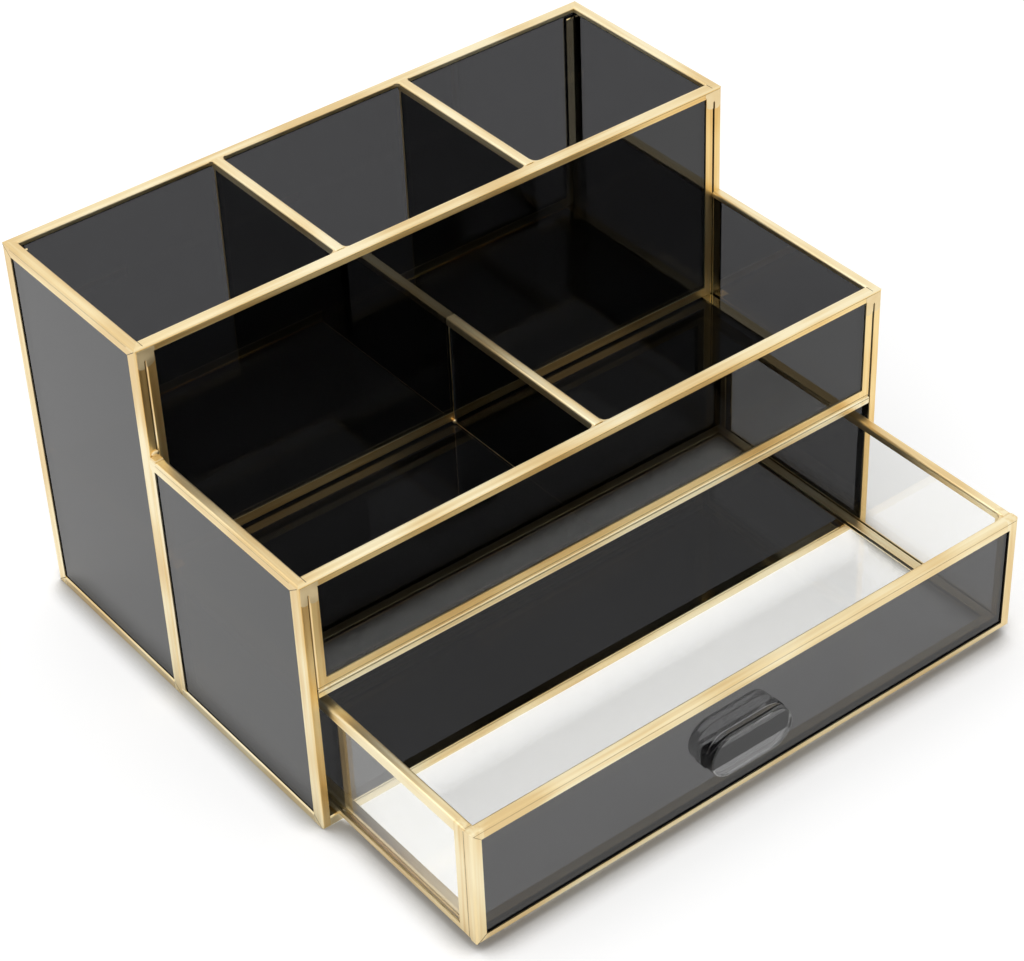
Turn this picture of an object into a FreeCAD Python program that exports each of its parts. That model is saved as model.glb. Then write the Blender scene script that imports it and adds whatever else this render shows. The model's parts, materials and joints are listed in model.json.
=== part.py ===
"""Two-tier brush holder with a drawer: glass panes edged with folded brass strip.

Frame: millimetres, +Z up, front of the holder towards -Y. The origin is the centre of the
holder's underside, on the surface that it stands on. The drawer is drawn part way out.
"""
import FreeCAD, Part
import math
import os

V = FreeCAD.Vector

# ---- driving dimensions -------------------------------------------------------------
# holder
width = 240.0               # across the front, over the brass
depth = 163.0               # front to back, over the brass
tall_height = 143.6         # rear tier, for brushes
low_height = 101.6          # front tier, for small things
low_depth = 82.4            # front tier, front to back
bay_height = 51.0           # clear height that the drawer slides in
brush_bays = 3              # compartments in the rear tier

# glass
wall_glass = 3.0            # smoked panes of the walls, base and drawer front
shelf_glass = 2.5           # smoked pane of the shelf
box_glass = 2.7             # clear panes of the drawer box
play = 0.05                 # between a pane and the brass folded over it
set_back = 0.3              # from the end of a divider to what it stands between

# brass strip
brass = 0.4                 # sheet thickness
fold = 0.8                  # outside radius of a fold
side_lip = 3.8              # rims along the sides and the back, outer lip
front_lip = 2.85            # rims along the fronts, both lips
inner_lip = 1.9             # rims along the sides and the back, inner lip
front_rim_width = 4.45      # rims along the fronts, across the top
post_side_leg = 4.65        # corner angle, leg on the side
post_face_leg = 3.1         # corner angle, leg on the front or back
edge_lip = 3.5              # channels round the standing front and back panes
sill_lip = 3.9              # their bottom edges
step_lip = 2.3              # angle behind the low side pane
base_lip = 4.4              # base rail, over the base pane
shelf_lip = 4.4             # channel round the shelf pane
divider_lip = 3.0           # cap along the top of a divider

# drawer
drawer_side_gap = 2.6       # drawer to corner angle, each side
drawer_head_gap = 3.8       # drawer to shelf
drawer_back_gap = 1.9       # shut drawer to the back wall
slide_gap = 0.3             # drawer to the base rail that it slides on
drawer_open = 74.0          # how far out it is drawn here
floor_lift = 0.5            # its bottom pane above its lowest edge
box_rim_lip = 4.1           # drawer box, outer lip along the top
box_rim_inner_lip = 2.8     # drawer box, inner lip along the top
box_foot_lip = 2.6          # drawer box, lips along the bottom
box_stile = 4.65            # drawer box, outer lips at its corners
box_inner_stile = 3.0       # drawer box, inner lips at its corners
floor_lip = 3.6             # channel round the bottom pane
face_rim_lip = 3.7          # drawer front, lip along the top
face_foot_lip = 2.6         # drawer front, lip along the bottom
face_stile = 3.8            # drawer front, lips at its ends
face_inner_lip = 2.6        # drawer front, lips on the inside

# pull
pull_length = 33.8          # of its front plate
pull_height = 16.5
pull_plate = 3.6            # thickness of the front plate
pull_web_length = 33.0      # web between the plate and the glass
pull_web_height = 7.6
pull_reach = 2.5            # glass to the back of the front plate
pull_front_round = 0.6      # rounding of the plate's front edge
pull_back_round = 0.3       # and of its back edge
pull_aside = -7.75          # from the middle of the drawer front

# ---- places worked out from them ----------------------------------------------------
cover = brass + play                        # from an outer face in to the pane behind it
wall = wall_glass + 2 * cover               # channel over a wall pane
box_wall = box_glass + 2 * cover            # channel over a drawer box pane
side_x = -width / 2                         # left outer face; the right one mirrors it
front_y = -depth / 2
back_y = depth / 2
step_y = front_y + low_depth                # face of the rear tier
pane_x = side_x + cover + wall_glass        # inner face of the left panes
inner_x = pane_x + play                     # left end of what stands between the sides
base_top = wall_glass + 2 * play + brass    # the base pane lies on the surface itself
shelf_under = base_top + bay_height
shelf_top = shelf_under + shelf_glass + 2 * cover
shelf_pane_top = shelf_under + cover + shelf_glass
back_in_y = back_y - wall                   # inner face of the back wall

drawer_x = side_x + post_face_leg + drawer_side_gap
drawer_low = base_top + slide_gap
drawer_top = shelf_under - drawer_head_gap
drawer_length = depth - wall - drawer_back_gap
drawer_face = front_y - drawer_open
drawer_end = drawer_face + drawer_length
box_front = drawer_face + wall              # where the box meets the drawer front
box_in_x = drawer_x + box_wall              # inner face of the box's left side
floor_low = drawer_low + floor_lift
floor_top = floor_low + box_wall


# ---- building blocks ----------------------------------------------------------------
touching = 1e-4             # points and planes nearer than this are the same


def block(low, high):
    """Box between two corners."""
    low, high = V(*low), V(*high)
    size = high - low
    return Part.makeBox(size.x, size.y, size.z, low)


def mirrored(shape):
    """The same piece on the right-hand side."""
    return shape.mirror(V(0, 0, 0), V(1, 0, 0))


def outline(points):
    """Closed face in the XY plane; each point is (x, y, corner radius)."""
    count = len(points)
    edges = []
    ends = []
    for i in range(count):
        here = V(points[i][0], points[i][1], 0)
        before = V(points[i - 1][0], points[i - 1][1], 0) - here
        after = V(points[(i + 1) % count][0], points[(i + 1) % count][1], 0) - here
        radius = points[i][2]
        if radius == 0:
            ends.append((here, here))
            continue
        half = before.getAngle(after) / 2
        before.normalize()
        after.normalize()
        reach = radius / math.tan(half)
        middle = before + after
        middle.normalize()
        top = here + middle * (radius / math.sin(half) - radius)
        ends.append((here + before * reach, here + after * reach))
        edges.append(Part.Arc(ends[-1][0], top, ends[-1][1]).toShape())
    for i in range(count):
        start, stop = ends[i - 1][1], ends[i][0]
        if start.distanceToPoint(stop) > touching:
            edges.append(Part.LineSegment(start, stop).toShape())
    return Part.Face(Part.Wire(Part.__sortEdges__(edges)))


def run_along(points, start, end, out):
    """Extrude an outline from start to end; its +Y faces out, its +X runs across."""
    along = end - start
    length = along.Length
    along.normalize()
    across = along.cross(out)
    solid = outline(points).extrude(V(0, 0, -length))
    solid.Placement = FreeCAD.Placement(start, FreeCAD.Rotation(across, out, along * -1, "ZXY"))
    return solid


def channel(start, end, out, across, near, far):
    """U strip: web of width across facing out, with a near and a far lip behind it."""
    points = [(0, -near, 0), (0, 0, fold), (across, 0, fold), (across, -far, 0),
              (across - brass, -far, 0), (across - brass, -brass, 0),
              (brass, -brass, 0), (brass, -near, 0)]
    return run_along(points, V(*start), V(*end), V(*out))


def angle(start, end, out, across, leg):
    """L strip: one leg of width across facing out, the other folded back from its near edge."""
    points = [(0, -leg, 0), (0, 0, fold), (across, 0, 0),
              (across, -brass, 0), (brass, -brass, 0), (brass, -leg, 0)]
    return run_along(points, V(*start), V(*end), V(*out))


def prism(points, drop):
    """Straight prism on a closed run of points."""
    corners = [V(*p) for p in points]
    return Part.Face(Part.makePolygon(corners + corners[:1])).extrude(V(*drop))


def folded_frame(low, high, thin, lips_low, lips_high, open_top=False):
    """One strip folded round a pane: lips on both faces, and a slot for the glass.

    thin is the axis through the pane. Each lips list holds the widths at the low and high
    ends of the two other axes. open_top leaves the frame without its upper side.
    """
    body = block(low, high)
    rounded = [e for e in body.Edges if abs(e.tangentAt(e.FirstParameter)[thin]) < touching]
    body = body.makeFillet(fold, rounded)
    flat = [a for a in range(3) if a != thin]
    slot_low = [v + brass for v in low]
    slot_high = [v - brass for v in high]
    if open_top:
        slot_high[2] = high[2] + brass
    body = body.cut(block(slot_low, slot_high))
    for face, lips in ((0, lips_low), (1, lips_high)):
        win_low, win_high = list(slot_low), list(slot_high)
        for n, a in enumerate(flat):
            win_low[a] = low[a] + lips[2 * n]
            win_high[a] = high[a] - lips[2 * n + 1]
        if open_top:
            win_high[2] = high[2] + brass
        if face == 0:
            win_low[thin] = low[thin] - brass
        else:
            win_high[thin] = high[thin] + brass
        body = body.cut(block(win_low, win_high))
    return body


def framed_pane(low, high):
    """The pane that lies in the slot of such a frame."""
    return block([v + cover for v in low], [v - cover for v in high])


def stadium(length, height, middle, thick):
    """Bar with round ends, lying on the drawer front; thick runs forward from middle."""
    r = height / 2
    half = length / 2
    points = [(-half, -r, r), (half, -r, r), (half, r, r), (-half, r, r)]
    solid = outline(points).extrude(V(0, 0, thick))
    turn = FreeCAD.Rotation(V(1, 0, 0), V(0, 0, 1), V(0, -1, 0), "ZXY")
    solid.Placement = FreeCAD.Placement(V(*middle), turn)
    return solid


# ---- corner posts and the rims on them ----------------------------------------------
def post_room(y, inward, top, lip, foot):
    """Space that a corner angle takes in the rims and rails, ending in slanted seams.

    y is its outer face, inward the sign of the way in, lip the face rim's lip, and foot
    the height that its face leg starts at.
    """
    under = top - brass
    side = prism([(side_x, y, 0), (side_x, y + inward * post_side_leg, 0),
                  (side_x, y + inward * post_side_leg, top - side_lip),
                  (side_x, y, under)], (brass, 0, 0))
    face = prism([(side_x, y, foot), (side_x + post_face_leg, y, foot),
                  (side_x + post_face_leg, y, top - lip), (side_x, y, under)],
                 (0, inward * brass, 0))
    return side.fuse(face)


def corner_post(y, inward, top, lip, foot):
    """Left corner angle that fills its room."""
    ends = [(side_x, y, 0), (side_x, y, top)]
    if inward > 0:
        ends.reverse()
    strip = angle(*ends, (-1, 0, 0), post_side_leg, post_face_leg)
    return strip.common(post_room(y, inward, top, lip, foot)).removeSplitter()


front_post = (front_y, 1, low_height, front_lip, 0)
mid_post = (step_y, 1, tall_height, front_lip, base_top)
rear_post = (back_y, -1, tall_height, side_lip, 0)


def without_posts(shape):
    """Cut the room of all six corner angles out of a strip."""
    for post in (front_post, mid_post, rear_post):
        room = post_room(*post)
        shape = shape.cut(room).cut(mirrored(room))
    return shape.removeSplitter()


def side_rim(y0, y1, top, front_mitre, back_mitre):
    """Left rim over a side pane, its ends mitred in plan where another rim meets it."""
    strip = channel((side_x, y0, top), (side_x, y1, top), (0, 0, 1), wall, side_lip, inner_lip)
    inside = side_x + wall
    plan = [(side_x, y0, top), (side_x, y1, top),
            (inside, y1 - back_mitre, top), (inside, y0 + front_mitre, top)]
    return without_posts(strip.common(prism(plan, (0, 0, -side_lip))))


def face_rim(y, inward, top, across, outer_lip, back_lip):
    """Rim along a front or the back, mitred at both ends."""
    start, end = V(-side_x, y, top), V(side_x, y, top)
    if inward < 0:
        start, end = end, start
    strip = channel(start, end, (0, 0, 1), across, outer_lip, back_lip)
    inside = y + inward * across
    plan = [(side_x, y, top), (-side_x, y, top),
            (-side_x - wall, inside, top), (side_x + wall, inside, top)]
    return without_posts(strip.common(prism(plan, (0, 0, -side_lip))))


# ---- holder -------------------------------------------------------------------------
def base_frame():
    """Rails round the base pane: outer leg down to the surface, lip over the glass."""
    low, high = (side_x, front_y, 0), (-side_x, back_y, base_top)
    ring = block(low, high)
    upper = [e for e in ring.Edges if e.BoundBox.ZMin > base_top - play]
    ring = ring.makeFillet(fold, upper)
    ring = ring.cut(block((side_x + brass, front_y + brass, -brass),
                          (-side_x - brass, back_y - brass, base_top - brass)))
    ring = ring.cut(block((side_x + base_lip, front_y + base_lip, -brass),
                          (-side_x - base_lip, back_y - base_lip, base_top + brass)))
    return without_posts(ring)


def base_glass():
    return block((side_x + cover, front_y + cover, 0),
                 (-side_x - cover, back_y - cover, wall_glass))


shelf_box = ((inner_x, front_y, shelf_under), (-inner_x, back_in_y, shelf_top))
upper_front_box = ((inner_x, step_y, shelf_top),
                   (-inner_x, step_y + wall, tall_height - front_lip))
lower_front_box = ((inner_x, front_y, shelf_top),
                   (-inner_x, front_y + wall, low_height - front_lip))
back_box = ((inner_x, back_in_y, base_top), (-inner_x, back_y, tall_height - side_lip))


def standing_frame(box):
    """Channel up both ends and along the foot of a front or back pane."""
    lips = [edge_lip, edge_lip, sill_lip, 0]
    return folded_frame(*box, 1, lips, lips, open_top=True)


def standing_pane(box, top):
    """Its pane, which reaches up into the rim above."""
    low, high = box
    return block([v + cover for v in low], (high[0] - cover, high[1] - cover, top - cover))


def shelf_frame():
    lips = [shelf_lip] * 4
    return folded_frame(*shelf_box, 2, lips, lips)


def tall_side_glass():
    return block((side_x + cover, step_y + cover, base_top),
                 (pane_x, back_y - cover, tall_height - cover))


def low_side_glass():
    return block((side_x + cover, front_y + cover, base_top),
                 (pane_x, step_y - cover, low_height - cover))


def step_angle():
    """Angle round the back edge of the low side pane, against the middle post."""
    return angle((side_x, step_y, low_height - side_lip), (side_x, step_y, base_top),
                 (0, 1, 0), wall_glass + cover - play, step_lip)


rim_in_front = step_y + front_rim_width      # inner edges of the rims that dividers meet
low_rim_in = front_y + front_rim_width


def divider_cap(x, y0, y1, top):
    start = (x - wall / 2, y0, top)
    return channel(start, (x - wall / 2, y1, top), (0, 0, 1), wall, divider_lip, divider_lip)


def divider_glass(x, y0, y1, low, top):
    return block((x - wall_glass / 2, y0 + set_back, low),
                 (x + wall_glass / 2, y1 - set_back, top - cover))


def brush_dividers():
    """Panes and caps that part the rear tier into equal bays, named from the left."""
    pieces = {}
    bay = -2 * pane_x / brush_bays
    for n in range(1, brush_bays):
        x = pane_x + n * bay
        pieces["brush_divider_%d" % n] = divider_glass(
            x, rim_in_front, back_in_y, shelf_top, tall_height)
        pieces["brush_divider_cap_%d" % n] = divider_cap(
            x, rim_in_front, back_in_y, tall_height)
    return pieces


def holder():
    """Every piece of the body that stands still."""
    sided = {
        "tall_side_glass": tall_side_glass(),
        "low_side_glass": low_side_glass(),
        "step_angle": step_angle(),
        "front_post": corner_post(*front_post),
        "middle_post": corner_post(*mid_post),
        "rear_post": corner_post(*rear_post),
        "tall_rim": side_rim(step_y, back_y, tall_height, front_rim_width, wall),
        "low_rim": side_rim(front_y, step_y, low_height, front_rim_width, 0),
    }
    pieces = {}
    for name, shape in sided.items():
        pieces[name + "_left"] = shape
        pieces[name + "_right"] = mirrored(shape)
    pieces["base_frame"] = base_frame()
    pieces["base_glass"] = base_glass()
    pieces["shelf_frame"] = shelf_frame()
    pieces["shelf_glass"] = framed_pane(*shelf_box)
    pieces["back_frame"] = standing_frame(back_box)
    pieces["back_glass"] = standing_pane(back_box, tall_height)
    pieces["upper_front_frame"] = standing_frame(upper_front_box)
    pieces["upper_front_glass"] = standing_pane(upper_front_box, tall_height)
    pieces["lower_front_frame"] = standing_frame(lower_front_box)
    pieces["lower_front_glass"] = standing_pane(lower_front_box, low_height)
    pieces["back_rim"] = face_rim(back_y, -1, tall_height, wall, side_lip, inner_lip)
    pieces["upper_front_rim"] = face_rim(
        step_y, 1, tall_height, front_rim_width, front_lip, front_lip)
    pieces["lower_front_rim"] = face_rim(
        front_y, 1, low_height, front_rim_width, front_lip, front_lip)
    pieces["tray_divider"] = divider_glass(0, low_rim_in, step_y, shelf_pane_top, low_height)
    pieces["tray_divider_cap"] = divider_cap(0, low_rim_in, step_y + brass, low_height)
    pieces.update(brush_dividers())
    return pieces


# ---- drawer -------------------------------------------------------------------------
drawer_side_box = ((drawer_x, box_front, drawer_low), (box_in_x, drawer_end, drawer_top))
drawer_back_box = ((box_in_x, drawer_end - box_wall, drawer_low),
                   (-box_in_x, drawer_end, drawer_top))
drawer_floor_box = ((box_in_x, box_front, floor_low),
                    (-box_in_x, drawer_end - box_wall, floor_top))
drawer_face_box = ((drawer_x, drawer_face, drawer_low), (-drawer_x, box_front, drawer_top))


def drawer_side_frame():
    outer = [box_stile, box_stile, box_foot_lip, box_rim_lip]
    inner = [box_inner_stile, box_inner_stile, box_foot_lip, box_rim_inner_lip]
    return folded_frame(*drawer_side_box, 0, outer, inner)


def drawer_back_frame():
    inner = [box_inner_stile, box_inner_stile, box_foot_lip, box_rim_inner_lip]
    outer = [box_inner_stile, box_inner_stile, box_foot_lip, box_rim_lip]
    return folded_frame(*drawer_back_box, 1, inner, outer)


def drawer_floor_frame():
    lips = [floor_lip] * 4
    return folded_frame(*drawer_floor_box, 2, lips, lips)


def drawer_face_frame():
    outer = [face_stile, face_stile, face_foot_lip, face_rim_lip]
    return folded_frame(*drawer_face_box, 1, outer, [face_inner_lip] * 4)


def front_edges(shape, y):
    """Edges that lie in the plane y."""
    return [e for e in shape.Edges
            if abs(e.BoundBox.YMin - y) < touching and abs(e.BoundBox.YMax - y) < touching]


def drawer_pull():
    """Moulded pull: a round-ended front plate on a web that is glued to the glass."""
    glass_y = drawer_face + cover
    plate_y = glass_y - pull_reach
    x = pull_aside
    z = (drawer_low + drawer_top) / 2
    half = V(pull_web_length / 2, 0, pull_web_height / 2)
    web = block(V(x, plate_y, z) - half, V(x, glass_y, z) + half)
    plate = stadium(pull_length, pull_height, (x, plate_y, z), pull_plate)
    plate = plate.makeFillet(pull_front_round, front_edges(plate, plate_y - pull_plate))
    plate = plate.makeFillet(pull_back_round, front_edges(plate, plate_y))
    return web.fuse(plate).removeSplitter()


def drawer():
    """Every piece that slides."""
    pieces = {
        "drawer_side_frame_left": drawer_side_frame(),
        "drawer_side_frame_right": mirrored(drawer_side_frame()),
        "drawer_side_glass_left": framed_pane(*drawer_side_box),
        "drawer_side_glass_right": mirrored(framed_pane(*drawer_side_box)),
        "drawer_back_frame": drawer_back_frame(),
        "drawer_back_glass": framed_pane(*drawer_back_box),
        "drawer_floor_frame": drawer_floor_frame(),
        "drawer_floor_glass": framed_pane(*drawer_floor_box),
        "drawer_face_frame": drawer_face_frame(),
        "drawer_face_glass": framed_pane(*drawer_face_box),
        "drawer_pull": drawer_pull(),
    }
    return pieces


# ---- output -------------------------------------------------------------------------
os.makedirs("parts", exist_ok=True)
for name, shape in {**holder(), **drawer()}.items():
    box = shape.BoundBox
    print("%-26s solids %d valid %s volume %9.1f  x %7.2f %7.2f  y %7.2f %7.2f  z %7.2f %7.2f" % (
        name, len(shape.Solids), shape.isValid(), shape.Volume,
        box.XMin, box.XMax, box.YMin, box.YMax, box.ZMin, box.ZMax))
    if len(shape.Solids) == 1:
        shape = shape.Solids[0]
    shape.exportStep("parts/%s.step" % name)
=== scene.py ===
import bpy
import bmesh
import json
import math
from mathutils import Matrix, Vector


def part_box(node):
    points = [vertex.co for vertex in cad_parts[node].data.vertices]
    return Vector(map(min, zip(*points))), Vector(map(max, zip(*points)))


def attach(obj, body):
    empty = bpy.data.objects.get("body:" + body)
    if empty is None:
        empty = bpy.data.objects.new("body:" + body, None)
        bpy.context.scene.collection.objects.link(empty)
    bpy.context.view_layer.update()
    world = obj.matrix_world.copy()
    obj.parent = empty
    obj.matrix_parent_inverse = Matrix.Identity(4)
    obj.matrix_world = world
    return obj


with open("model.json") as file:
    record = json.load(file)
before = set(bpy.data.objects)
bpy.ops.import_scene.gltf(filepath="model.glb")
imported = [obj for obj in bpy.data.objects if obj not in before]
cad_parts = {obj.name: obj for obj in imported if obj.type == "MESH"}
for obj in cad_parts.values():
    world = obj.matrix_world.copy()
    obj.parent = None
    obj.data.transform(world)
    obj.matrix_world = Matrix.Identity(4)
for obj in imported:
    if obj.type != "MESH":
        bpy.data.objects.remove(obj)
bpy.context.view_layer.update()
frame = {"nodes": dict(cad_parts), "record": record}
nodes = frame["nodes"]
print("frame loaded:", len(nodes), "nodes")


# camera
cameraSetup = {
    "place": (-0.4556, -0.6449, 0.6566),
    "azimuth": -36.50,           # degrees, from the front towards the right
    "elevation": 38.416,
    "roll": -2.535,
    "lens": 100.93,
    "sensor": 36.0,
    "clip": (0.01, 50.0),
}


def addCamera(setup):
    azimuth, elevation, roll = (math.radians(setup[k]) for k in ("azimuth", "elevation", "roll"))
    back = Vector((math.sin(azimuth) * math.cos(elevation),
                   -math.cos(azimuth) * math.cos(elevation), math.sin(elevation)))
    side = (-back).cross(Vector((0, 0, 1))).normalized()
    up = side.cross(-back)
    across = side * math.cos(roll) + up * math.sin(roll)
    upright = up * math.cos(roll) - side * math.sin(roll)
    turn = Matrix((across, upright, back)).transposed().to_4x4()
    data = bpy.data.cameras.new("camera")
    data.sensor_fit = "HORIZONTAL"
    data.sensor_width = setup["sensor"]
    data.lens = setup["lens"]
    data.clip_start, data.clip_end = setup["clip"]
    camera = bpy.data.objects.new("camera", data)
    camera.matrix_world = Matrix.Translation(setup["place"]) @ turn
    bpy.context.scene.collection.objects.link(camera)
    bpy.context.scene.camera = camera


addCamera(cameraSetup)
bpy.context.scene.view_settings.view_transform = "Standard"
print("camera placed")


# node helpers
mixSockets = {                   # a Mix node's two inputs and its output, by what it mixes
    "FLOAT": (2, 3, 0),
    "VECTOR": (4, 5, 1),
    "RGBA": (6, 7, 2),
}


def newMaterial(name):
    material = bpy.data.materials.new(name)
    material.use_nodes = True
    tree = material.node_tree
    tree.nodes.clear()
    return material, tree


def addNode(tree, kind, inputs=None, **settings):
    node = tree.nodes.new(kind)
    for key, value in settings.items():
        setattr(node, key, value)
    for key, value in (inputs or {}).items():
        if isinstance(value, bpy.types.NodeSocket):
            tree.links.new(value, node.inputs[key])
        else:
            node.inputs[key].default_value = value
    return node


def objectPlace(tree):
    return addNode(tree, "ShaderNodeTexCoord").outputs["Object"]


def calc(tree, operation, first, second=0.0):
    return addNode(tree, "ShaderNodeMath", {0: first, 1: second}, operation=operation).outputs[0]


def oneAxis(tree, vector, axis):
    return addNode(tree, "ShaderNodeSeparateXYZ", {0: vector}).outputs[axis]


def mixed(tree, kind, share, first, second, **settings):
    one, two, result = mixSockets[kind]
    node = addNode(tree, "ShaderNodeMix", {"Factor": share, one: first, two: second},
                   data_type=kind, **settings)
    return node.outputs[result]


def noise(tree, place, scale, detail, rough=0.5):
    return addNode(tree, "ShaderNodeTexNoise", {
        "Vector": place, "Scale": scale, "Detail": detail, "Roughness": rough}).outputs["Fac"]


def spread(tree, value, span, reach):
    # value's span drawn out to reach
    return addNode(tree, "ShaderNodeMapRange", {
        "Value": value, "From Min": span[0], "From Max": span[1],
        "To Min": reach[0], "To Max": reach[1]}).outputs["Result"]


def colourRamp(tree, share, stops):
    ramp = addNode(tree, "ShaderNodeValToRGB", {"Fac": share})
    elements = ramp.color_ramp.elements
    while len(elements) < len(stops):
        elements.new(0.5)
    for stop, (position, colour) in zip(elements, stops):
        stop.position = position
        stop.color = colour
    return ramp.outputs["Color"]


def showShader(tree, shader, output="ShaderNodeOutputMaterial"):
    addNode(tree, output, {"Surface": shader.outputs[0]})


def seenDirectly(tree):
    # 1 for what the camera sees, straight or by way of metal and glass
    path = addNode(tree, "ShaderNodeLightPath").outputs
    first = calc(tree, "MAXIMUM", path["Is Camera Ray"], path["Is Glossy Ray"])
    return calc(tree, "MAXIMUM", first, path["Is Transmission Ray"])


# floor, world and lamps
studio = {
    "floorSize": 8.0,
    "floorDrop": 0.0002,         # under the holder's underside
    # painted shadow and light, by the share of open sky: the floor's colour and glow are raised
    # under the clear drawer and darkened along the edges
    "floorShadowPaint": ((0.0, 0.60), (0.12, 0.60), (0.20, 0.42), (0.52, 0.42), (0.80, 0.60)),
    "floorGlowAndShadow": ((0.0, 0.62), (0.05, 0.92), (0.13, 0.92), (0.20, 0.03), (0.52, 0.03),
                  (0.86, 0.54)),
    "openReach": 0.014,          # how far the sky is looked for, and with how many rays
    "openRays": 16,
    "ambient": 0.70,
    "lamps": {
        "topLamp": {"place": (-0.45, 0.35, 1.9), "size": 1.5, "power": 9.0},
        "leftLamp": {"place": (-1.6, -0.3, 1.3), "size": 1.4, "power": 3.5},
    },
    "lampAim": (0, 0, 0.05),
}


def addFloor(setup):
    mesh = bpy.data.meshes.new("floor")
    bm = bmesh.new()
    bmesh.ops.create_grid(bm, x_segments=1, y_segments=1, size=setup["floorSize"] / 2)
    bmesh.ops.translate(bm, verts=bm.verts, vec=(0, 0, -setup["floorDrop"]))
    bm.to_mesh(mesh)
    bm.free()
    floor = bpy.data.objects.new("floor", mesh)
    bpy.context.scene.collection.objects.link(floor)
    material, tree = newMaterial("paleFloor")
    sky = addNode(tree, "ShaderNodeAmbientOcclusion", {"Distance": setup["openReach"]},
                  samples=setup["openRays"]).outputs["AO"]
    # painted shadow: the floor's colour and glow follow the share of open sky around each point
    shade, glowAndShadow = (colourRamp(tree, sky, [(share, (level, level, level, 1))
                                          for share, level in setup[stops]])
                   for stops in ("floorShadowPaint", "floorGlowAndShadow"))
    paint = addNode(tree, "ShaderNodeBsdfDiffuse", {"Color": shade})
    glow = addNode(tree, "ShaderNodeEmission",
                   {"Strength": calc(tree, "MULTIPLY", seenDirectly(tree), glowAndShadow)})
    showShader(tree, addNode(tree, "ShaderNodeAddShader", {0: paint.outputs[0],
                                                           1: glow.outputs[0]}))
    mesh.materials.append(material)


def addWorld(setup):
    world = bpy.data.worlds.new("studio")
    bpy.context.scene.world = world
    world.use_nodes = True
    tree = world.node_tree
    tree.nodes.clear()
    dim, white = (addNode(tree, "ShaderNodeBackground", {"Color": (1, 1, 1, 1), "Strength": level})
                  for level in (setup["ambient"], 1.0))
    showShader(tree, addNode(tree, "ShaderNodeMixShader", {
        0: seenDirectly(tree), 1: dim.outputs[0], 2: white.outputs[0]}), "ShaderNodeOutputWorld")


def addLamps(setup):
    for name, lamp in setup["lamps"].items():
        data = bpy.data.lights.new(name, "AREA")
        data.shape = "SQUARE"
        data.size = lamp["size"]
        data.energy = lamp["power"]
        light = bpy.data.objects.new(name, data)
        light.location = lamp["place"]
        aim = Vector(setup["lampAim"]) - Vector(lamp["place"])
        light.rotation_euler = aim.to_track_quat("-Z", "Y").to_euler()
        bpy.context.scene.collection.objects.link(light)


addFloor(studio)
addWorld(studio)
addLamps(studio)
print("studio lit")


# materials
brassLook = {
    "colours": ((0.39, (0.78, 0.58, 0.29, 1)), (0.50, (0.88, 0.72, 0.42, 1)),
                (0.60, (0.94, 0.83, 0.56, 1))),
    "streakAcross": 520.0,       # per metre, across the strip and along it
    "streakAlong": 16.0,
    "streakShare": 0.45,         # of the colour; the rest is the broad cloud
    "strip": 0.0048,             # width of a ring frame's strip
    "ringSides": 3,              # a ring frame is wider than this many strips
    "cloud": 30.0,
    "cloudRough": 0.4,
    "roughness": (0.34, 0.42),
    "polished": (0.05, 0.10),    # the frames inside, back from the front face
    "inside": ("shelf_frame", "back_frame", "base_frame"),
    "frontFace": -0.0811,
    "wave": 0.00010,             # height of the bump
    # painted shade: the front faces of these strips are tinted a deeper gold
    "frontShadeNodes": ("front_post", "middle_post", "upper_front", "lower_front"),
    "paintedFrontShade": (0.98, 0.84, 0.60, 1),
    "frontShadeFacing": -0.9,          # a face counts as a front where its normal's Y is under this
}
noiseSpan = (0.3, 0.7)           # where nearly all of a noise texture's values lie


def streakPlace(tree, place, look, along):
    # places pressed together along one axis, so that noise is drawn out that way
    stretch = [look["streakAcross"]] * 3
    stretch[along] = look["streakAlong"]
    return addNode(tree, "ShaderNodeVectorMath", {0: place, 1: stretch},
                   operation="MULTIPLY").outputs[0]


def brassMaterial(look, name, along, ring=None, inside=False, frontShade=False):
    # the streaks run along axis "along"; on a ring frame they turn at its ends
    material, tree = newMaterial(name)
    place = objectPlace(tree)
    course = streakPlace(tree, place, look, along)
    if ring:
        turned = streakPlace(tree, place, look, ring["turn"])
        apart = calc(tree, "SUBTRACT", oneAxis(tree, place, along), ring["middle"])
        atEnd = calc(tree, "GREATER_THAN", calc(tree, "ABSOLUTE", apart),
                     ring["half"] - look["strip"])
        course = mixed(tree, "VECTOR", atEnd, course, turned)
    streak = noise(tree, course, 1.0, 2.0)
    cloud = noise(tree, place, look["cloud"], 1.0, look["cloudRough"])
    tint = colourRamp(tree, mixed(tree, "FLOAT", look["streakShare"], cloud, streak),
                      look["colours"])
    # painted shade: faces that look forward are tinted a deeper gold
    if frontShade:
        facing = oneAxis(tree, addNode(tree, "ShaderNodeTexCoord").outputs["Normal"], "Y")
        paintedFrontMask = calc(tree, "LESS_THAN", facing, look["frontShadeFacing"])
        tint = mixed(tree, "RGBA", paintedFrontMask, tint, look["paintedFrontShade"], blend_type="MULTIPLY")
    dull = spread(tree, streak, noiseSpan, look["polished"] if inside else look["roughness"])
    if inside:
        outside = calc(tree, "LESS_THAN", oneAxis(tree, place, "Y"), look["frontFace"])
        dull = mixed(tree, "FLOAT", outside, dull, look["roughness"][0])
    wave = addNode(tree, "ShaderNodeBump", {"Height": cloud, "Strength": 1.0,
                                            "Distance": look["wave"]})
    showShader(tree, addNode(tree, "ShaderNodeBsdfPrincipled", {
        "Base Color": tint, "Metallic": 1.0, "Roughness": dull,
        "Normal": wave.outputs["Normal"]}))
    return material


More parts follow.
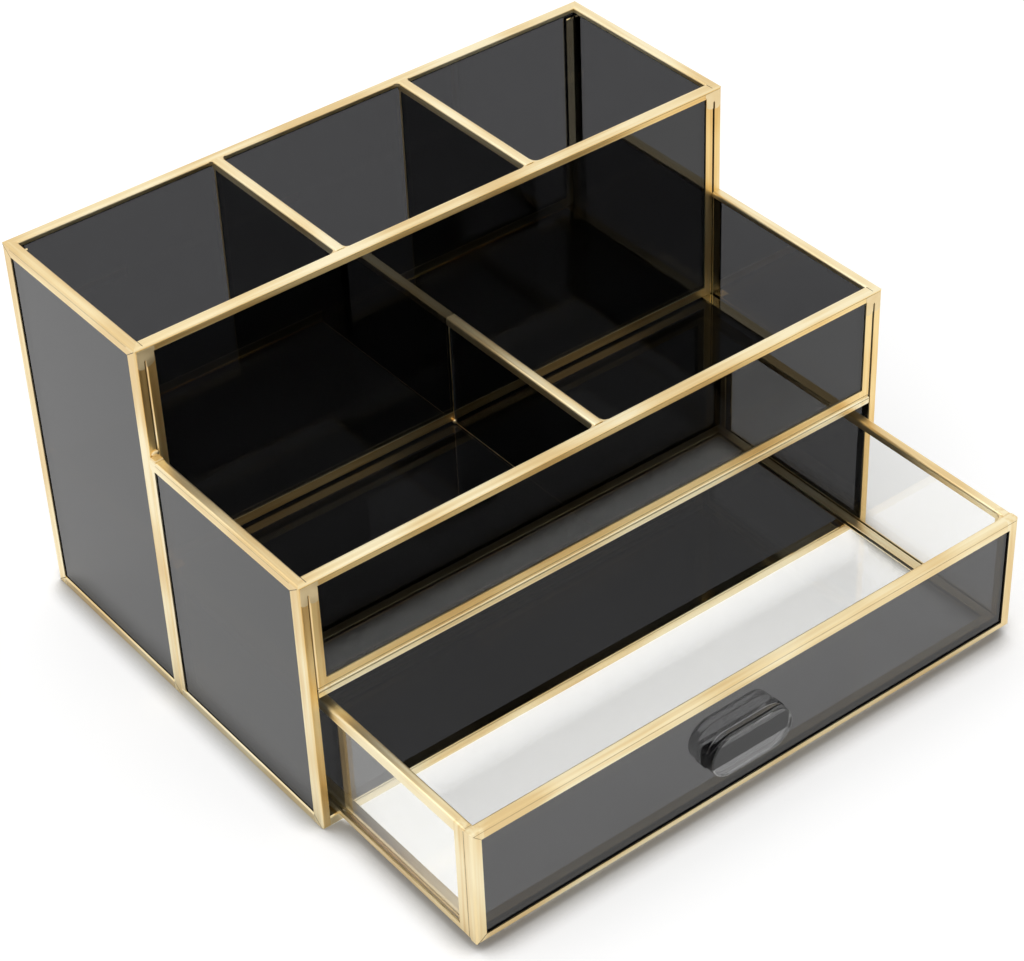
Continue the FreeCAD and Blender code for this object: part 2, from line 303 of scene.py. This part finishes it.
def brassForNode(look, node):
    # a frame that is wide in two directions is a ring; anything slender is one strip
    low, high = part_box(node)
    sides = [high[i] - low[i] for i in range(3)]
    along, second = sorted(range(3), key=lambda i: -sides[i])[:2]
    frontShade = node.startswith(look["frontShadeNodes"])
    if sides[second] < look["ringSides"] * look["strip"]:
        return brassMaterial(look, "brass_" + node, along, frontShade=frontShade)
    ring = {"turn": second, "middle": (low[along] + high[along]) / 2, "half": sides[along] / 2}
    return brassMaterial(look, "brass_" + node, along, ring, node in look["inside"], frontShade)


glassLooks = {
    "smoked_glass": {"name": "smokedGlass", "tint": (0.063, 0.063, 0.065, 1), "index": 1.5,
                     "haze": 0.006},
    "clear_glass": {"name": "clearGlass", "tint": (0.95, 0.95, 0.935, 1), "index": 1.5,
                    "haze": 0.006},
    "clear_acrylic": {"name": "mouldedPull", "tint": (0.93, 0.93, 0.93, 1), "index": 1.49,
                      "haze": 0.0, "gluedBack": (-0.15515, -0.15510)},
}
hazeCloud = {"scale": 12.0, "span": (0.4, 0.8)}


def glassMaterial(look):
    material, tree = newMaterial(look["name"])
    place = objectPlace(tree)
    haze = noise(tree, place, hazeCloud["scale"], 1.0)
    glass = addNode(tree, "ShaderNodeBsdfPrincipled", {
        "Base Color": look["tint"], "Transmission Weight": 1.0, "IOR": look["index"],
        "Roughness": spread(tree, haze, hazeCloud["span"], (0.0, look["haze"]))})
    if "gluedBack" in look:
        # the face that is stuck to the pane bends no light
        glued = spread(tree, oneAxis(tree, place, "Y"), look["gluedBack"], (look["index"], 1.0))
        tree.links.new(glued, glass.inputs["IOR"])
    showShader(tree, glass)
    return material


def dressNodes(record):
    glasses = {slot: glassMaterial(look) for slot, look in glassLooks.items()}
    for part in record["subparts"]:
        node, finish = part["node"], part["material_slot"]
        material = glasses.get(finish) or brassForNode(brassLook, node)
        for slot in nodes[node].material_slots:
            slot.material = material


dressNodes(frame["record"])
print("materials set")


# small fittings, each in millimetres; the pieces are scaled to metres at the end
left, front, upwards = (-1, 0, 0), (0, -1, 0), (0, 0, 1)     # ways that a surface looks
millimetre = 0.001


def newPiece(name, bm, body, material):
    bmesh.ops.scale(bm, vec=(millimetre, millimetre, millimetre), verts=bm.verts)
    bmesh.ops.recalc_face_normals(bm, faces=bm.faces)
    mesh = bpy.data.meshes.new(name)
    bm.to_mesh(mesh)
    bm.free()
    mesh.materials.append(material)
    piece = bpy.data.objects.new(name, mesh)
    bpy.context.scene.collection.objects.link(piece)
    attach(piece, body)


def everything(bm):
    return list(bm.verts) + list(bm.edges) + list(bm.faces)


def bothSides(bm):
    # a copy of all that is there, mirrored to the right half
    copied = bmesh.ops.duplicate(bm, geom=everything(bm))["geom"]
    verts = [g for g in copied if isinstance(g, bmesh.types.BMVert)]
    bmesh.ops.scale(bm, vec=(-1, 1, 1), verts=verts)
    faces = [g for g in copied if isinstance(g, bmesh.types.BMFace)]
    bmesh.ops.reverse_faces(bm, faces=faces)


def addStrip(bm, start, end, out, width, depth, proud):
    # a flat strip from start to end on the surface that looks along out
    start, end, out = Vector(start), Vector(end), Vector(out)
    along = end - start
    across = along.normalized().cross(out)
    middle = (start + end) / 2 + out * (proud - depth / 2)
    shape = Matrix((along, across * width, out * depth)).transposed().to_4x4()
    bmesh.ops.create_cube(bm, size=1.0, matrix=Matrix.Translation(middle) @ shape)


def pushOut(bm, corners, push):
    # a flat outline drawn out into a solid; gives the face at its far end
    face = bm.faces.new([bm.verts.new(c) for c in corners])
    grown = bmesh.ops.extrude_face_region(bm, geom=[face], use_keep_orig=True)["geom"]
    moved = [g for g in grown if isinstance(g, bmesh.types.BMVert)]
    bmesh.ops.translate(bm, verts=moved, vec=push)
    return next(g for g in grown if isinstance(g, bmesh.types.BMFace))


def easeEdges(bm, edges, ease, steps):
    bmesh.ops.bevel(bm, geom=list(edges), offset=ease, offset_type="OFFSET", segments=steps,
                    profile=0.5, affect="EDGES", material=-1)


# painted shade: a dark strip along a pane where its edge goes into the strip, standing in for the
# shadowed gap there
gapShadeLine = {
    "colour": (0.006, 0.006, 0.006, 1),
    "dust": 400.0,
    "roughness": (0.15, 0.35),
    "depth": 0.10,
    "proud": 0.03,
    "side": {"x": -119.55, "width": 0.85, "foot": (3.5, 0.7)},
    "tall": {"y": (5.55, 76.85), "top": 139.8},
    "low": {"y": (-76.85, -1.4), "top": 97.8},
    "drawer": {"y": -155.05, "x": (-110.5, 110.5), "z": (6.4, 47.0), "width": 0.9, "foot": 1.1},
}


def gapShadeMaterial(look):
    # painted shade: the near-black colour of the gap strips
    material, tree = newMaterial("paintedGapShade")
    dust = noise(tree, objectPlace(tree), look["dust"], 2.0)
    showShader(tree, addNode(tree, "ShaderNodeBsdfPrincipled", {
        "Base Color": look["colour"], "Specular IOR Level": 0.0,
        "Roughness": spread(tree, dust, noiseSpan, look["roughness"])}))
    return material


def addGapShadeLines(setup, material):
    def line(bm, start, end, out, width):
        addStrip(bm, start, end, out, width, setup["depth"], setup["proud"])

    side = setup["side"]
    low, drop = side["foot"]
    x, foot = side["x"], low + drop / 2
    for name, pane in (("tallPaneGapShade", setup["tall"]), ("lowPaneGapShade", setup["low"])):
        bm = bmesh.new()
        ahead, rear = pane["y"]
        upright = rear - side["width"] / 2
        line(bm, (x, upright, low), (x, upright, pane["top"]), left, side["width"])
        line(bm, (x, ahead, foot), (x, rear, foot), left, drop)
        bothSides(bm)
        newPiece(name, bm, "holder", material)

    pane = setup["drawer"]
    y, (low, top), (start, end) = pane["y"], pane["z"], pane["x"]
    upright, foot = end - pane["width"] / 2, low + pane["foot"] / 2
    bm = bmesh.new()
    line(bm, (upright, y, low), (upright, y, top), front, pane["width"])
    line(bm, (start, y, foot), (end, y, foot), front, pane["foot"])
    newPiece("drawerPaneGapShade", bm, "drawer", material)


addGapShadeLines(gapShadeLine, gapShadeMaterial(gapShadeLine))
print("pane edges drawn")


# the dark hairlines where one strip butts against another, and painted shade lines along their
# folds
seamLine = {
    "colours": ((0.35, (0.055, 0.038, 0.020, 1)), (0.75, (0.25, 0.18, 0.09, 1))),
    "foldShadeAndMitreColours": ((0.35, (0.30, 0.21, 0.09, 1)), (0.75, (0.50, 0.37, 0.17, 1))),
    "stain": 250.0,
    "width": 0.24,
    "foldWidth": 0.20,
    "depth": 0.06,
    "proud": 0.012,
    "side": -120.0,
    # mitres on the posts' sides: face, way in, top
    "posts": ((-81.5, 1, 101.6), (0.9, 1, 143.6), (81.5, -1, 143.6)),
    "corner": (0.5, 0.7, 0.2),   # where a mitre starts: in, under the top, over the foot
    "leg": 4.65,                 # and where it ends
    "lip": 3.8,
    "footLip": 3.4,
    # butts on top of the front rims' ends, and painted fold shade along the rims
    "fronts": ((0.9, 143.6), (-81.5, 101.6)),
    "butt": {"x": -116.35, "y": (3.9, 0.7)},
    "frontHalf": 119.2,
    "sideFolds": ((5.6, 76.8, 143.6), (-76.8, -2.3, 101.6)),
    "foldDrop": 0.9,
    "sill": {"y": -81.5, "half": 116.3, "lines": (57.0, 58.9)},
    # the drawer's: start, end, facing
    "drawerSide": ((-114.27, -151.6, 4.6), (-114.27, -151.6, 50.0), left),
    "drawerFoot": ((-114.0, -155.5, 4.1), (-110.6, -155.5, 6.4), front),
    "drawerTop": ((-113.7, -151.6, 50.67), (-111.2, -151.6, 50.67), upwards),
    "drawerCorner": ((-113.4, -155.5, 49.8), (-110.6, -155.5, 47.1), front),
    "drawerFold": ((-113.4, -155.5, 49.8), (113.4, -155.5, 49.8), front),
}


def seamMaterial(name, colours, stain):
    material, tree = newMaterial(name)
    showShader(tree, addNode(tree, "ShaderNodeBsdfPrincipled", {
        "Base Color": colourRamp(tree, noise(tree, objectPlace(tree), stain, 2.0), colours),
        "Roughness": 0.5, "Specular IOR Level": 0.3}))
    return material


def addSeams(setup):
    def line(bm, start, end, out, width="foldWidth"):
        addStrip(bm, start, end, out, setup[width], setup["depth"], setup["proud"])

    seam = seamMaterial("seamLine", setup["colours"], setup["stain"])
    # painted shade: the fold lines are tinted brown for the shade under each fold; the drawer
    # face's corner mitre uses the same colours
    shadeAndMitre = seamMaterial("paintedFoldShadeAndMitre", setup["foldShadeAndMitreColours"], setup["stain"])
    side, drop, sill = setup["side"], setup["foldDrop"], setup["sill"]

    bm = bmesh.new()
    inset, under, over = setup["corner"]
    for face, inward, top in setup["posts"]:
        edge, leg = face + inward * inset, face + inward * setup["leg"]
        line(bm, (side, edge, top - under), (side, leg, top - setup["lip"]), left, "width")
        line(bm, (side, leg, setup["footLip"]), (side, edge, over), left, "width")
    butt = setup["butt"]
    for face, top in setup["fronts"]:
        line(bm, (butt["x"], face + butt["y"][0], top), (butt["x"], face + butt["y"][1], top),
             upwards, "width")
    bothSides(bm)
    for z in sill["lines"]:
        line(bm, (-sill["half"], sill["y"], z), (sill["half"], sill["y"], z), front)
    newPiece("stripSeams", bm, "holder", seam)

    # painted shade lines along the rims' folds
    bm = bmesh.new()
    for start, end, top in setup["sideFolds"]:
        line(bm, (side, start, top - drop), (side, end, top - drop), left)
    bothSides(bm)
    half = setup["frontHalf"]
    for face, top in setup["fronts"]:
        line(bm, (-half, face, top - drop), (half, face, top - drop), front)
    newPiece("rimPaintedFoldShade", bm, "holder", shadeAndMitre)

    bm = bmesh.new()
    line(bm, *setup["drawerSide"])
    bothSides(bm)
    line(bm, *setup["drawerFoot"], "width")
    line(bm, *setup["drawerTop"])
    newPiece("drawerSeams", bm, "drawer", seam)

    bm = bmesh.new()
    line(bm, *setup["drawerCorner"])
    line(bm, *setup["drawerFold"])
    newPiece("drawerFoldShadeAndMitre", bm, "drawer", shadeAndMitre)


addSeams(seamLine)
print("seams drawn")


# solder: flooded over the corners, drawn into the inner corners, and left in lumps
solder = {
    "colours": ((0.35, (0.80, 0.62, 0.34, 1)), (0.65, (0.86, 0.70, 0.42, 1))),
    "flow": 160.0,
    "wave": 0.0003,
    "roughness": (0.34, 0.50),
    "thick": 0.07,
    "patchSunk": 0.05,           # into the strip under it, and the easing of its edge
    "patchEase": 0.05,
    "patchSteps": 2,
    "patches": {                 # front faces of the left posts: y, then x and z all round
        "tallCornerSolder": {"y": 0.9, "outline": (
            (-119.3, 142.7), (-119.4, 136.7), (-118.9, 135.9), (-118.0, 135.5), (-117.1, 135.5),
            (-116.95, 135.9), (-116.9, 138.3), (-116.6, 138.7), (-116.25, 138.3), (-116.2, 136.0),
            (-115.6, 135.8), (-114.2, 136.3), (-113.2, 137.2), (-113.1, 140.7), (-112.6, 141.6),
            (-112.8, 142.6))},
        "lowCornerSolder": {"y": -81.5, "outline": (
            (-119.3, 100.7), (-119.5, 94.3), (-118.9, 93.6), (-118.0, 93.3), (-117.1, 93.4),
            (-116.95, 93.9), (-116.9, 96.7), (-116.6, 97.1), (-116.25, 96.7), (-116.2, 93.9),
            (-115.4, 93.1), (-114.2, 92.9), (-113.2, 93.3), (-113.1, 98.7), (-112.6, 99.6),
            (-112.8, 100.6))},
    },
    "nub": {"low": (-119.8, -2.3, 101.5), "high": (-116.5, 0.85, 102.3), "ease": 0.3,
            "bead": (-117.6, 0.7, 102.9), "size": (1.5, 0.7, 1.2), "rings": (16, 10)},
    "fillets": {                 # corner, ways that the legs run, leg, top
        "capFillets": ("holder", (
            ((36.9, 5.35), (-1, 1), 1.4, 143.6), ((40.8, 5.35), (1, 1), 2.2, 143.6),
            ((36.9, 77.6), (-1, -1), 1.6, 143.6), ((40.8, 77.6), (1, -1), 1.0, 143.6))),
        "trayFillets": ("holder", (
            ((1.95, -77.05), (1, 1), 1.8, 101.6),)),
        "drawerFillets": ("drawer", (
            ((110.7, -151.6), (-1, 1), 2.6, 50.7),)),
    },
    "runs": (                    # thin runs beside the dividers: start, end, width
        ((-1.5, 0.55, 58.2), (-1.5, 0.55, 98.4), 0.45),
        ((-1.5, -76.5, 58.05), (-1.5, 0.4, 58.05), 0.35),
        ((-40.35, 77.0, 58.4), (-40.35, 77.0, 140.2), 0.9),
        ((37.35, 77.0, 58.4), (37.35, 77.0, 140.2), 0.9)),
    "runDepth": 0.2,
    "runProud": 0.08,
    "lump": {"place": (-1.5, 0.3, 58.4), "size": 0.9, "subdivisions": 3},
    "drawerCorners": (           # in the folds where the side strips meet the face's
        ((-114.0, -152.5, 49.3), (-110.9, -150.7, 50.67)),
        ((-114.27, -152.5, 4.3), (-113.2, -150.7, 50.2))),
    "cornerEase": 0.25,
    "blockSteps": 3,
    "filletDrop": 1.2,
    "filletSunk": 0.6,           # into the strips, and below their tops
    "filletLow": 0.30,
    "filletSteps": 6,
}


def solderMaterial(look):
    material, tree = newMaterial("solder")
    flow = noise(tree, objectPlace(tree), look["flow"], 1.0)
    bump = addNode(tree, "ShaderNodeBump", {"Height": flow, "Distance": look["wave"]})
    showShader(tree, addNode(tree, "ShaderNodeBsdfPrincipled", {
        "Base Color": colourRamp(tree, flow, look["colours"]), "Metallic": 1.0,
        "Roughness": spread(tree, flow, noiseSpan, look["roughness"]),
        "Normal": bump.outputs["Normal"]}))
    return material


def addBlock(bm, low, high, ease, setup):
    # a block between two corners with rounded edges
    low, high = Vector(low), Vector(high)
    made = bmesh.ops.create_cube(bm, size=1.0, matrix=Matrix.Translation((low + high) / 2)
                                 @ Matrix.Diagonal(high - low).to_4x4())
    edges = dict.fromkeys(e for v in made["verts"] for e in v.link_edges)    # each edge once
    easeEdges(bm, edges, ease, setup["blockSteps"])


def addFillet(bm, corner, ways, leg, top, setup):
    # a corner filled in plan by a hollow quarter round, its back sunk into both strips
    (x, y), (wayX, wayY) = corner, ways
    steps, sunk = setup["filletSteps"], setup["filletSunk"]
    points = [(x + wayX * leg, y - wayY * sunk, top),
              (x - wayX * sunk, y - wayY * sunk, top),
              (x - wayX * sunk, y + wayY * leg, top)]
    for i in range(steps, -1, -1):
        turn = math.pi / 2 * i / steps
        points.append((x + wayX * leg * (1 - math.sin(turn)),
                       y + wayY * leg * (1 - math.cos(turn)), top))
    pushOut(bm, points, (0, 0, -setup["filletDrop"]))


def addSolder(setup):
    material = solderMaterial(setup)
    for name, patch in setup["patches"].items():
        bm = bmesh.new()
        sunk = setup["patchSunk"]
        outline = [(x, patch["y"] + sunk, z) for x, z in patch["outline"]]
        outer = pushOut(bm, outline, (0, -sunk - setup["thick"], 0))
        easeEdges(bm, outer.edges, setup["patchEase"], setup["patchSteps"])
        bothSides(bm)
        newPiece(name, bm, "holder", material)

    nub = setup["nub"]
    bm = bmesh.new()
    addBlock(bm, nub["low"], nub["high"], nub["ease"], setup)
    bmesh.ops.create_uvsphere(bm, u_segments=nub["rings"][0], v_segments=nub["rings"][1],
                              radius=1.0, matrix=Matrix.Translation(nub["bead"])
                              @ Matrix.Diagonal(nub["size"]).to_4x4())
    newPiece("rimEndSolder", bm, "holder", material)

    bm = bmesh.new()
    for start, end, width in setup["runs"]:
        addStrip(bm, start, end, left, width, setup["runDepth"], setup["runProud"])
    lump = setup["lump"]
    bmesh.ops.create_icosphere(bm, subdivisions=lump["subdivisions"], radius=lump["size"],
                               matrix=Matrix.Translation(lump["place"]))
    newPiece("dividerSolder", bm, "holder", material)

    bm = bmesh.new()
    for low, high in setup["drawerCorners"]:
        addBlock(bm, low, high, setup["cornerEase"], setup)
    bothSides(bm)
    newPiece("drawerCornerSolder", bm, "drawer", material)

    for name, (body, fillets) in setup["fillets"].items():
        bm = bmesh.new()
        for corner, ways, leg, top in fillets:
            addFillet(bm, corner, ways, leg, top - setup["filletLow"], setup)
        if body == "holder":
            bothSides(bm)
        newPiece(name, bm, body, material)


addSolder(solder)
print("solder added")
